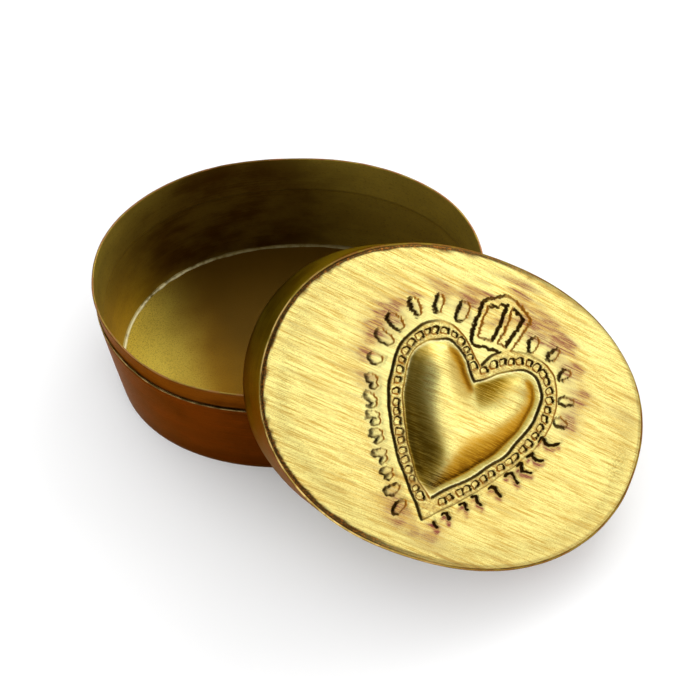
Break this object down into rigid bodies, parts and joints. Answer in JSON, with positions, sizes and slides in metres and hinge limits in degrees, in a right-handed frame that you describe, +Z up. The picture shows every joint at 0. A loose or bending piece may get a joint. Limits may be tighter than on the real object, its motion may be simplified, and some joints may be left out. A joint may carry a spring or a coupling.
{
  "type": "keepsake tin",
  "caption": "Oval sheet-brass keepsake box, open, with its lift-off lid leaning on the rim; the lid has a puffed heart, dotted border, rays and a crown.",
  "frame": {"origin": "middle of the box's base, on the surface that it stands on", "axes": "+X along the box's long way, towards the side that the lid leans to; +Y to the rear; +Z up out of the box"},
  "size_m": [0.1371, 0.1083, 0.0682],
  "materials": {
    "aged_brown_brass": "aged red-brown, brushed along the strip",
    "olive_brass": "aged olive, satin",
    "gold_brass": "aged gold, finely speckled",
    "embossed_gold_brass": "bright gold, brushed, with purple-brown stains round the relief",
    "solder_bead": "dull, uneven bead"
  },
  "bodies": {
    "box": {"body_band": "aged_brown_brass", "neck_collar": "olive_brass", "floor_plate": "gold_brass", "floor_solder": "solder_bead", "neck_solder": "solder_bead"},
    "lid": {"lid_band": "aged_brown_brass", "lid_plate": "embossed_gold_brass", "lid_solder": "solder_bead"}
  },
  "joints": [
    {"name": "lid_lift", "type": "slide", "parent": "box", "child": "lid", "axis": [0, 0, 1], "range_m": [0, 0.08]}
  ]
}
